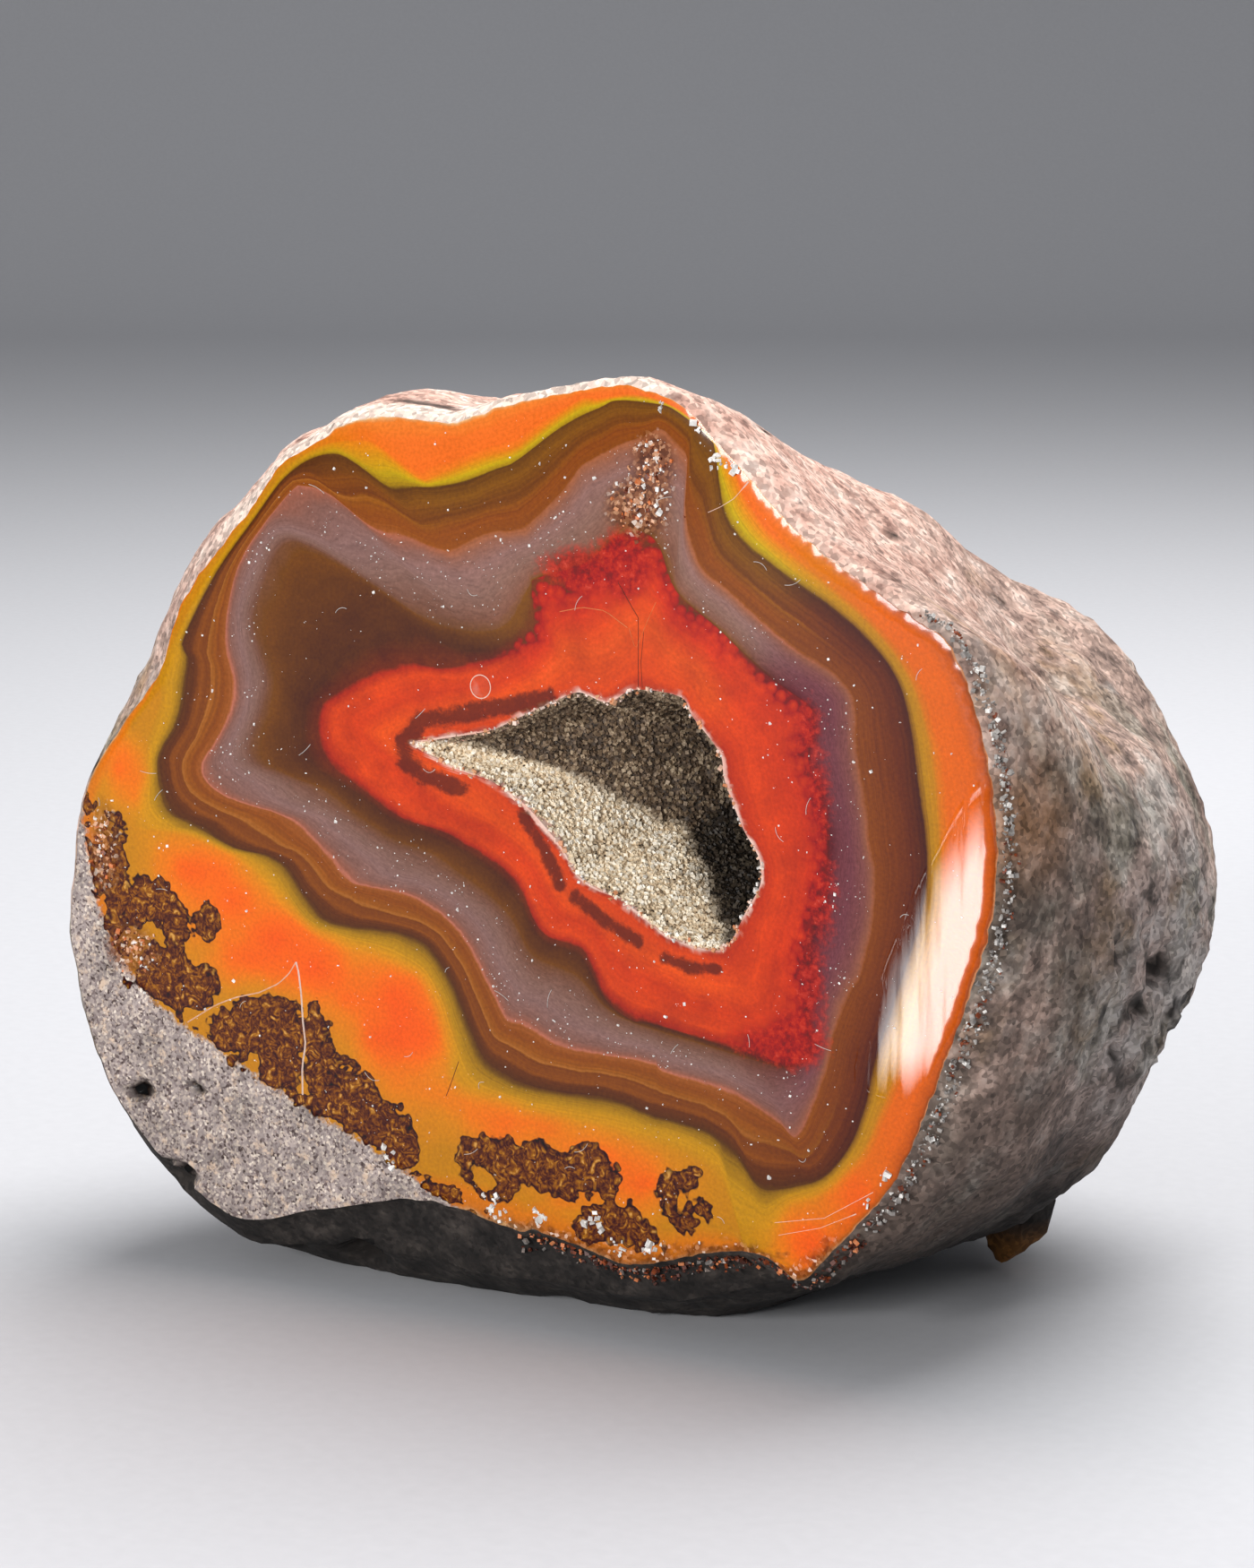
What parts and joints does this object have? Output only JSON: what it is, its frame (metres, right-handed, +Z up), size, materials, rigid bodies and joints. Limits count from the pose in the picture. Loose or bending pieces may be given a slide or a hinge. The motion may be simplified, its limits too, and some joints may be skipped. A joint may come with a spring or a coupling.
{
  "type": "agate geode",
  "caption": "Natural agate nodule sawn flat on one side: banded agate in rough host rock round an off-centre hollow lined with fine crystals.",
  "frame": {"origin": "middle of the bounding box's underside, at the level of the surface that the stone rests on", "axes": "+Z up, the sawn face looks along -Y, +X to the right when looking at the sawn face"},
  "size_m": [0.0779, 0.05, 0.064],
  "materials": {
    "agate_and_rock": "polished banded agate on the sawn face, rough host rock elsewhere",
    "fine_crystals": "matt, granular"
  },
  "bodies": {
    "root": {"agate_nodule": "agate_and_rock", "cavity_crust": "fine_crystals"}
  },
  "joints": []
}
